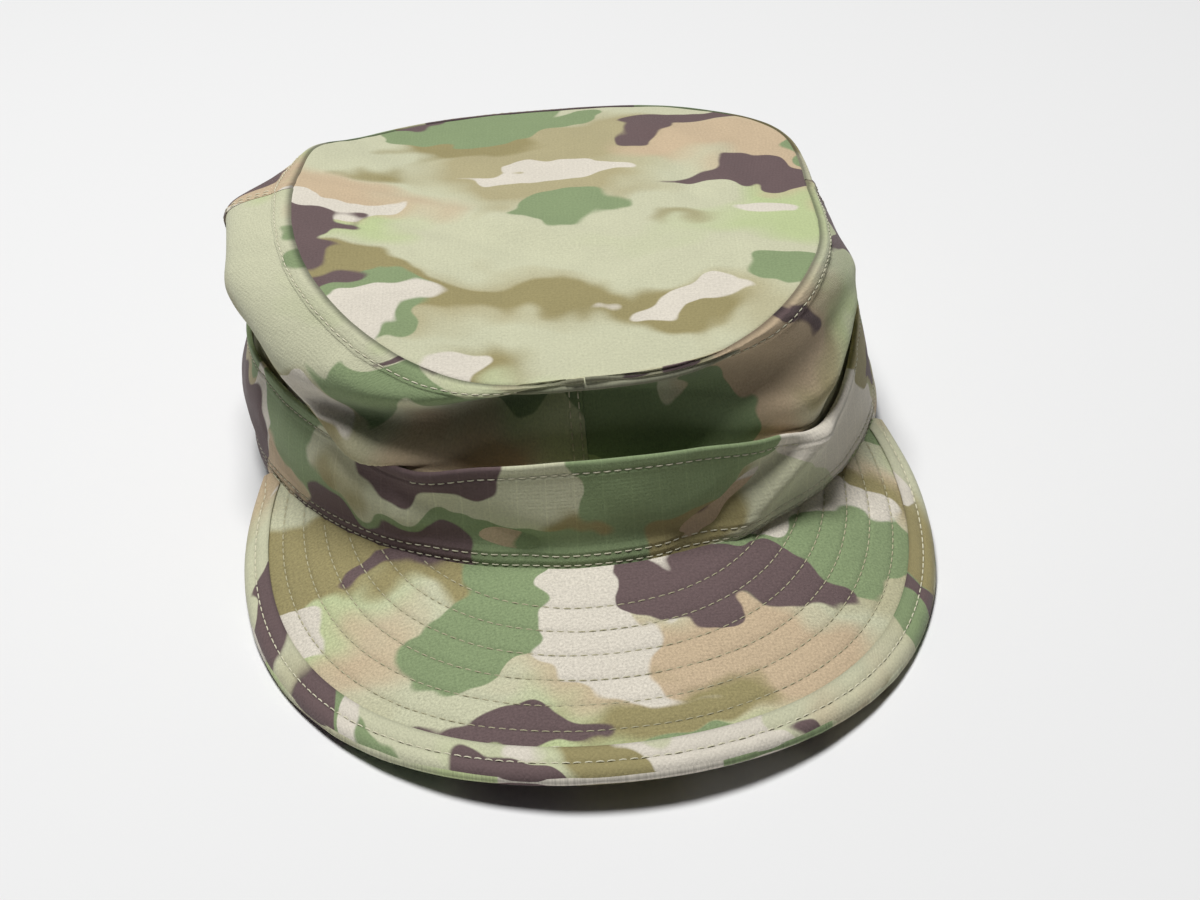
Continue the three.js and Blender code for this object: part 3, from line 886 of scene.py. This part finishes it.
# The soft drifts under the blobs: their size, stretch and place in the noise, and their tints by its level
DRIFTS = (0.055, 1.8, 3.1)
DRIFT_STOPS = ((0.34, "tan"), (0.44, "pale"), (0.56, "pale"), (0.66, "lime"))

# How fine the bends in all outlines are, and how far they reach in metres
LOBE_SCALE = 52.0
LOBE_PUSH = 0.034


def camouflage(tree, place, cover):
    """A generic camouflage: soft drifts of tan, pale and lime under lobed blobs, which start at levels lower
    by cover than in the table."""
    bend = node(tree, "TexNoise", {"Vector": place, "Scale": LOBE_SCALE, "Detail": 1.5, "Roughness": 0.5})
    centred = node(tree, "VectorMath", {0: bend.outputs["Color"], 1: (0.5, 0.5, 0.5)}, operation="SUBTRACT")
    pushed = node(tree, "VectorMath", {0: centred.outputs[0], "Scale": LOBE_PUSH}, operation="SCALE")
    bent = node(tree, "VectorMath", {0: place, 1: pushed.outputs[0]}, operation="ADD").outputs[0]

    def noise(size, stretch, seed):
        scaled = node(tree, "Mapping", {"Vector": bent, "Location": (seed, seed * 0.7, seed * 1.3)})
        scaled.inputs["Scale"].default_value = (1 / (size * stretch), 1 / size, 1)
        inputs = {"Vector": scaled.outputs[0], "Scale": 1.0, "Detail": 0.6, "Roughness": 0.5}
        return node(tree, "TexNoise", inputs).outputs["Fac"]

    drift = node(tree, "ValToRGB", {"Fac": noise(*DRIFTS)})
    stops = drift.color_ramp.elements
    first, *between, last = DRIFT_STOPS
    stops[0].position = first[0]
    stops[0].color = TINT[first[1]]
    stops[1].position = last[0]
    stops[1].color = TINT[last[1]]
    for position, tint in between:
        stops.new(position).color = TINT[tint]
    cloth = drift.outputs[0]
    for tint, size, stretch, seed, level, blur in BLOBS:
        middle = level - cover
        share = smooth_step(tree, noise(size, stretch, seed), middle - blur, middle + blur)
        cloth = mix(tree, share, cloth, TINT[tint])
    return cloth


# The pitch of the weave's threads and of its heavier ripstop threads, in metres
WEAVE_PITCH = 0.0009
RIB_PITCH = 0.0018
RIPSTOP_PITCH = 0.0072


def threads(tree, axis, pitch):
    """A wave between 0 and 1 across the cloth, once every pitch metres."""
    turn = math_out(tree, "MULTIPLY", axis, 2 * math.pi / pitch)
    return math_out(tree, "MULTIPLY_ADD", math_out(tree, "SINE", turn), 0.5, 0.5)


def new_material(name, roughness):
    """A material with its node tree and its shader."""
    material = bpy.data.materials.new(name)
    material.use_nodes = True
    shader = material.node_tree.nodes["Principled BSDF"]
    shader.inputs["Roughness"].default_value = roughness
    return material, material.node_tree, shader


def cloth_material(name, ripstop, grain, cover):
    """Printed cloth: camouflage, a weave whose heavier threads show by the share ripstop and whose speckles
    show by the share grain, and a soft sheen."""
    material, tree, shader = new_material(name, 0.9)
    place = node(tree, "UVMap", uv_map="cloth").outputs[0]
    axes = node(tree, "SeparateXYZ", {0: place})
    cloth = camouflage(tree, place, cover)

    speckle = node(tree, "TexNoise", {"Vector": place, "Scale": 1500.0, "Detail": 3.0, "Roughness": 0.7})
    cloud = node(tree, "TexNoise", {"Vector": place, "Scale": 60.0, "Detail": 3.0, "Roughness": 0.6})
    worn = math_out(tree, "MULTIPLY_ADD", speckle.outputs["Fac"], grain, 1 - grain / 2)
    worn = math_out(tree, "MULTIPLY_ADD", cloud.outputs["Fac"], 0.16, math_out(tree, "ADD", worn, -0.08))
    ribs = []
    for axis, strength in ((axes.outputs[0], 1.0), (axes.outputs[1], 0.45)):
        wave = threads(tree, axis, RIPSTOP_PITCH)
        fine = threads(tree, axis, RIB_PITCH)
        ribs.append(math_out(tree, "MULTIPLY", smooth_step(tree, wave, 0.985, 1.0), strength))
        ribs.append(math_out(tree, "MULTIPLY", smooth_step(tree, fine, 0.8, 1.0), 0.2 * strength))
    warp_ribs = math_out(tree, "MAXIMUM", *ribs[:2])
    weft_ribs = math_out(tree, "MAXIMUM", *ribs[2:])
    rib = math_out(tree, "MAXIMUM", warp_ribs, weft_ribs)
    lighter = math_out(tree, "MULTIPLY_ADD", rib, ripstop, worn)
    # Painted shade from the mesh's shade attribute darkens the cloth in seams, stitch grooves, at edges and
    # in the front recess
    painted_shade = node(tree, "Attribute", attribute_name="shade").outputs["Fac"]
    light = math_out(tree, "MULTIPLY", lighter, math_out(tree, "SUBTRACT", 1.0, painted_shade))
    tinted = node(tree, "HueSaturation", {"Color": cloth, "Value": light})
    tree.links.new(tinted.outputs[0], shader.inputs["Base Color"])

    warp = threads(tree, axes.outputs[0], WEAVE_PITCH)
    weft = threads(tree, axes.outputs[1], WEAVE_PITCH)
    weave = math_out(tree, "MULTIPLY", warp, weft)
    height = math_out(tree, "MULTIPLY_ADD", rib, 3 * ripstop, math_out(tree, "MULTIPLY", weave, 0.35))
    height = math_out(tree, "MULTIPLY_ADD", speckle.outputs["Fac"], 1.6, height)
    crumple = node(tree, "TexNoise", {"Vector": place, "Scale": 160.0, "Detail": 3.0, "Roughness": 0.55})
    height = math_out(tree, "MULTIPLY_ADD", crumple.outputs["Fac"], 2.2, height)
    relief = node(tree, "Bump", {"Height": height, "Strength": 0.5, "Distance": 0.00022})
    tree.links.new(relief.outputs[0], shader.inputs["Normal"])

    shader.inputs["Specular IOR Level"].default_value = 0.25
    shader.inputs["Sheen Weight"].default_value = 0.12
    shader.inputs["Sheen Roughness"].default_value = 0.5
    return material


def thread_material(name, low, high):
    """Twisted thread whose tone varies between two colours."""
    material, tree, shader = new_material(name, 0.7)
    place = node(tree, "TexCoord").outputs["Object"]
    tone = node(tree, "TexNoise", {"Vector": place, "Scale": 300.0, "Detail": 2.0}).outputs["Fac"]
    tree.links.new(mix(tree, tone, low, high), shader.inputs["Base Color"])
    shader.inputs["Sheen Weight"].default_value = 0.1
    return material


# The pieces of the cap


def fine_steps(start, end, step):
    """Even steps of about a given size, both ends included."""
    return np.linspace(start, end, max(2, int(round(abs(end - start) / step)) + 1))


def row_shade(distance):
    """Painted shade: how much darker the cloth is in the groove along a row of stitches."""
    return ROW_SHADE * bump(distance, 0.45)


def seam_shade(distance):
    """Painted shade: how much darker the cloth is in the groove along a seam with the top panel."""
    return SEAM_SHADE * bump(distance, 0.38)


# The lowest share of the crown wall that is free of the band, and a distance below the top seam at which the
# seam's strip has no effect
FREE_FROM = 0.001
FAR_BELOW = 99.0


def crown_angles(start, end, step):
    """Angles of a crown panel's columns, closer together beside its seams."""
    near = 6.0
    left = fine_steps(start, start + near, 0.25)
    right = fine_steps(end - near, end, 0.25)
    return np.concatenate([left[:-1], fine_steps(start + near, end - near, step), right[1:]])


def crown_panel(name, start, end, step, material):
    """One panel of the crown wall between two upright seams."""
    half_gap = math.degrees(CLEARANCE / 4 / TOP_HALF_WIDTH)
    angle = crown_angles(start + half_gap, end - half_gap, step)
    zero = np.zeros((1, len(angle)))
    _, lengths = crown_share(angle, zero)
    near_seam = fine_steps(0, 6.6, 0.3)
    rest = fine_steps(0, 1, 1 / 54)[1:]
    below = np.concatenate([
        near_seam[:, None] + zero,
        near_seam[-1] + (lengths - near_seam[-1])[None] * rest[:, None],
    ])
    share, _ = crown_share(angle, below)
    share[-1] = FREE_FROM
    hidden = np.linspace(-0.03, -1, 9)[:, None] + zero
    share = np.concatenate([share, hidden])[::-1]
    below = np.concatenate([below, np.full(hidden.shape, FAR_BELOW)])[::-1]
    grid_angle = np.repeat(angle[None], len(share), axis=0)
    outer = crown_surface(grid_angle, share, below)
    inner = outer - grid_normals(outer, False) * CROWN_WALL
    around = np.repeat(hem_length(angle)[None] - hem_length(start), len(share), axis=0)
    cloth = flat_cloth(around, up_lengths(crown_base(grid_angle, share)), 0, CLOTH_CORNER[name])
    # Painted shade in the top seam, along the strip's row of stitches, and in the recess by how far the crown
    # turns in
    shade = seam_shade(below) + row_shade(below - SEAM_STRIP_ROW) - RECESS_SHADE * undercut(grid_angle, share)
    piece = wall_piece(name + "_cloth", outer, inner, cloth, shade, material, False)
    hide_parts(name)


def band_piece(material):
    angle = np.linspace(-180, 180, 641)[:-1]
    edge = edge_height(angle)
    foot = fine_steps(0, 8, 0.4)
    top = fine_steps(5, 0, 0.35)
    between = fine_steps(0, 1, 1 / 16)[1:-1]
    height = np.concatenate([
        np.repeat(foot[:, None], len(angle), axis=1),
        foot[-1] + (edge - top[0] - foot[-1])[None] * between[:, None],
        edge[None] - top[:, None],
    ])
    grid_angle = np.repeat(angle[None], len(height), axis=0)
    outer = band_surface(grid_angle, height)
    inner = outer - grid_normals(outer, True) * BAND_WALL
    around = np.concatenate([hem_length(angle), [hem_length(180)]])
    up = np.concatenate([height, height[:, :1]], axis=1)
    cloth = flat_cloth(np.repeat(around[None], len(height), axis=0), up, 0, CLOTH_CORNER["band"])
    # Painted shade along the rows of stitches and at the hem where the band meets the visor
    shade = row_shade(edge - height - BAND_TOP_ROW) + HEM_SHADE * bump(height, 0.6)
    for row in BAND_FOOT_ROWS:
        shade = shade + row_shade(height - row)
    piece = wall_piece("band_cloth", outer, inner, cloth, shade, material, True)
    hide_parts("band")


def top_piece(material):
    """The top panel: its two sides from the rim to rings near the middle, each closed by one point."""
    angle = np.linspace(-180, 180, 321)[:-1]
    rim = fine_steps(1, 0.9, 0.004)
    shares = np.concatenate([rim[:-1], fine_steps(0.9, 0.02, 0.014)])
    grid_share = np.repeat(shares[:, None], len(angle), axis=1)
    grid_angle = np.repeat(angle[None], len(shares), axis=0)
    outer = top_surface(grid_angle, grid_share)
    inner = outer - grid_normals(outer, True) * TOP_WALL
    edge = np.stack(round_edge(inner[0], outer[0], outer[0] - outer[1], EDGE_ROWS))
    rings = np.concatenate([inner[::-1], edge, outer])
    flat = top_map(grid_angle, grid_share)
    turn = 4
    corner = CLOTH_CORNER["top_panel"]
    cloth = flat_cloth(flat[..., 0], flat[..., 1], turn, corner)
    uv = np.concatenate([cloth[::-1], np.repeat(cloth[:1], EDGE_ROWS, 0), cloth])
    rows, columns = rings.shape[:2]
    faces = grid_faces(rows, columns, False, True)
    centre = top_surface(np.zeros(1), np.zeros(1))
    poles = np.concatenate([centre - (0, 0, TOP_WALL), centre])
    under, over = rows * columns, rows * columns + 1
    last = (rows - 1) * columns
    for column in range(columns):
        side = (column + 1) % columns
        faces.append((under, side, column))
        faces.append((last + column, last + side, over))
    vertices = set_down(np.concatenate([rings.reshape(-1, 3), poles]))
    middle_uv = flat_cloth(np.zeros(2), np.zeros(2), turn, corner)
    uvs = np.concatenate([uv.reshape(-1, 2), middle_uv]) * MM
    from_rim = (1 - grid_share) * (TOP_HALF_WIDTH + TOP_HALF_LENGTH) / 2
    # Painted shade in the seam round the rim
    shade = seam_shade(from_rim)
    shades = np.concatenate([shade[::-1], shade[:1].repeat(EDGE_ROWS, 0), shade]).ravel()
    shades = np.concatenate([shades, (0, 0)])
    piece = mesh_piece("top_panel_cloth", vertices, faces, uvs, material, shades)
    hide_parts("top_panel")


def visor_piece(material):
    place = np.linspace(-1, 1, 341)
    share = np.linspace(0, 1, 81)[:, None]
    rim = 1.0
    inward = rim + (visor_length(place)[None] - rim) * share
    grid_place = np.repeat(place[None], len(share), axis=0)
    upper = visor_face(grid_place, inward, 1)
    lower = visor_face(grid_place, inward, -1)
    flat = visor_middle(grid_place, inward)
    cloth = flat_cloth(flat[..., 0], flat[..., 1], -2, CLOTH_CORNER["visor"])
    # Painted shadow along the binding's inner edge and painted shade along the rows of stitches
    shade = VISOR_EDGE_SHADE * bump(inward - BINDING_WIDTH, 0.5)
    for row in VISOR_ROWS:
        shade = shade + row_shade(inward - row)
    piece = wall_piece("visor_cloth", upper, lower, cloth, shade, material, False)
    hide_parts("visor")


def binding_piece(material):
    place = np.linspace(-1, 1, 421)
    outside, inside = binding_profile(12)
    outer = binding_side(place, outside)
    inner = binding_side(place, inside)
    grid = np.meshgrid(path_lengths(visor_outline(place)), path_lengths(outside))
    cloth = flat_cloth(grid[0], grid[1], 45, CLOTH_CORNER["visor_binding"])
    inward = np.repeat(outside[:, :1], len(place), axis=1)
    # Painted shade along the row of stitches and at the binding's inner edge where it meets the visor
    shade = row_shade(inward - BINDING_ROW) + BINDING_SHADE * bump(inward - BINDING_WIDTH, 0.4)
    piece = wall_piece("visor_binding_cloth", outer, inner, cloth, shade, material, False)
    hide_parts("visor_binding")


# The crown wall's length up its free part, near enough to find normals by
WALL_LENGTH = 30


def crown_row(below, start, end):
    """A line on the crown wall at a distance below the top seam."""
    angle = np.linspace(start, end, 700)
    distance = np.full((1, len(angle)), float(below))
    share = crown_share(angle, distance)[0][0]

    def surface(at, up):
        return crown_surface(at, up, below - (up - share) * WALL_LENGTH)

    return line_on(surface, angle, share, (0.05, 0.001))


def fell_row(seam, beside):
    """A line up the crown wall at a distance beside an upright seam."""
    share = np.linspace(0.02, 0.93, 120)
    offsets = np.linspace(0, 8, 81)
    grid_share, grid_offset = np.meshgrid(share, offsets)
    distances = -beside_seam(seam - grid_offset, grid_share, seam)
    offset = np.array([np.interp(beside, distances[:, k], offsets) for k in range(len(share))])
    far = np.full(share.shape, FAR_BELOW)
    return line_on(lambda at, up: crown_surface(at, up, far), seam - offset, share, (0.05, 0.001))


def band_top_row(start, end):
    """A line under the band's upper edge between two angles."""
    angle = np.linspace(start, end, int(round(3 * (end - start))))
    return line_on(band_surface, angle, edge_height(angle) - BAND_TOP_ROW, (0.05, 0.05))


def band_foot_row(height):
    """A line all the way round the band at a height above the hem."""
    angle = np.linspace(-180, 180, 1080)
    return line_on(band_surface, angle, np.full(angle.shape, float(height)), (0.05, 0.05))


def visor_row(inward, side):
    """A line on the visor at a distance in from its outline, as far as the band at both ends."""
    place = np.linspace(-1, 1, 1200)
    place = place[visor_length(place) > inward + 0.6]
    distance = np.full(place.shape, float(inward))
    step = (0.001, 0.05 * side)
    return line_on(lambda at, d: visor_face(at, d, side), place, distance, step)


def binding_row():
    place = np.linspace(-0.985, 0.985, 1200)
    room = np.minimum((visor_length(place) - CLEARANCE) / BINDING_WIDTH, 1)
    points = visor_middle(place, BINDING_ROW * room)
    points[..., 2] += VISOR_TOP + BINDING_STAND - BINDING_ROW_DENT
    normals = np.tile((0.0, 0.0, 1.0), (len(place), 1))
    return points, normals


def build_cap():
    top = cloth_material("printed_ripstop_top", 0.02, 0.55, 0.0)
    crown = cloth_material("printed_ripstop_crown", 0.03, 0.65, 0.02)
    band = cloth_material("printed_ripstop_band", 0.12, 0.60, 0.03)
    visor = cloth_material("printed_twill_visor", 0.02, 1.1, 0.0)
    binding = cloth_material("printed_ripstop_binding", 0.03, 0.65, 0.0)
    pale_thread = thread_material("pale_thread", colour(190, 185, 156), colour(232, 228, 204))
    tan_thread = thread_material("tan_thread", colour(152, 147, 116), colour(200, 194, 162))
    top_piece(top)
    crown_panel("crown_front_left", -SIDE_SEAM_ANGLE, 0, 0.5, crown)
    crown_panel("crown_front_right", 0, SIDE_SEAM_ANGLE, 0.5, crown)
    crown_panel("crown_back", SIDE_SEAM_ANGLE, 360 - SIDE_SEAM_ANGLE, 0.7, crown)
    band_piece(band)
    visor_piece(visor)
    binding_piece(binding)
    crown_lines = [crown_row(SEAM_STRIP_ROW, -180, 180)]
    crown_lines += [fell_row(seam, row) for seam in CROWN_SEAMS for row in FELL_ROWS]
    stitch_mesh("crown_stitching", crown_lines, pale_thread)
    band_lines = [band_top_row(start, end) for start, end in BAND_TOP_ROW_SPANS]
    band_lines += [band_foot_row(row) for row in BAND_FOOT_ROWS]
    stitch_mesh("band_stitching", band_lines, pale_thread)
    stitch_mesh("visor_stitching", [visor_row(row, 1) for row in VISOR_ROWS], tan_thread)
    stitch_mesh("binding_stitching", [binding_row()], pale_thread)


# Floor, light and camera


FLOOR_REACH = 3.0
FLOOR_TONE = 0.8


def build_stage():
    mesh = bpy.data.meshes.new("floor")
    corners = [(FLOOR_REACH * x, FLOOR_REACH * y, 0) for x, y in ((-1, -1), (1, -1), (1, 1), (-1, 1))]
    mesh.from_pydata(corners, [], [(0, 1, 2, 3)])
    material, _, shader = new_material("floor", 0.95)
    shader.inputs["Base Color"].default_value = (FLOOR_TONE, FLOOR_TONE, FLOOR_TONE, 1)
    mesh.materials.append(material)
    floor = bpy.data.objects.new("floor", mesh)
    bpy.context.scene.collection.objects.link(floor)


def look_at(place, target):
    """A rotation that points an object's -Z from a place to a target."""
    back = unit(np.array(place, float) - np.array(target, float))
    right = unit(np.cross((0.0, 0.0, 1.0), back))
    up = np.cross(back, right)
    return Matrix(np.stack([right, up, back], axis=1).tolist())


# One broad lamp above the cap and slightly behind it, in metres and watts, and a faint light from all round
LAMP_PLACE = (-0.2, 0.2, 1.85)
LAMP_TARGET = (0, 0, 0.03)
LAMP_SIZE = 0.7
LAMP_POWER = 39.0
ROOM_LIGHT = 0.03


def build_lights():
    data = bpy.data.lights.new("key", "AREA")
    data.shape = "DISK"
    data.size = LAMP_SIZE
    data.energy = LAMP_POWER
    lamp = bpy.data.objects.new("key", data)
    lamp.matrix_world = Matrix.Translation(LAMP_PLACE) @ look_at(LAMP_PLACE, LAMP_TARGET).to_4x4()
    bpy.context.scene.collection.objects.link(lamp)
    world = bpy.data.worlds.new("studio")
    world.use_nodes = True
    background = world.node_tree.nodes["Background"]
    background.inputs["Color"].default_value = (0.95, 0.97, 1.0, 1)
    background.inputs["Strength"].default_value = ROOM_LIGHT
    bpy.context.scene.world = world


CAMERA_AZIMUTH = -4.24
CAMERA_ELEVATION = 33.0
CAMERA_DISTANCE = 0.62
CAMERA_ROLL = -2.9
CAMERA_TARGET = (0.0073, 0.00725, 0.00382)
CAMERA_LENS = 68.6


def build_camera():
    azimuth = math.radians(CAMERA_AZIMUTH)
    elevation = math.radians(CAMERA_ELEVATION)
    back = np.array((
        math.sin(azimuth) * math.cos(elevation),
        -math.cos(azimuth) * math.cos(elevation),
        math.sin(elevation),
    ))
    place = np.array(CAMERA_TARGET) + back * CAMERA_DISTANCE
    data = bpy.data.cameras.new("camera")
    data.lens = CAMERA_LENS
    data.sensor_width = 36
    camera = bpy.data.objects.new("camera", data)
    roll = Matrix.Rotation(math.radians(CAMERA_ROLL), 4, "Z")
    camera.matrix_world = Matrix.Translation(place.tolist()) @ look_at(place, CAMERA_TARGET).to_4x4() @ roll
    bpy.context.scene.collection.objects.link(camera)
    bpy.context.scene.camera = camera


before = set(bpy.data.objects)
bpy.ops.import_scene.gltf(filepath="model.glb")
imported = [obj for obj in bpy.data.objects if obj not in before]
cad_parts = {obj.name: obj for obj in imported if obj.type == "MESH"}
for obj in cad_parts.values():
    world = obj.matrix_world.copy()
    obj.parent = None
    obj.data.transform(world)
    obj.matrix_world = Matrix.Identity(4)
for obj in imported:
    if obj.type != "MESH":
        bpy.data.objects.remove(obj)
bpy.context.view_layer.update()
PLACING = find_placing()
build_cap()
build_stage()
build_lights()
build_camera()
bpy.context.scene.view_settings.view_transform = "Standard"
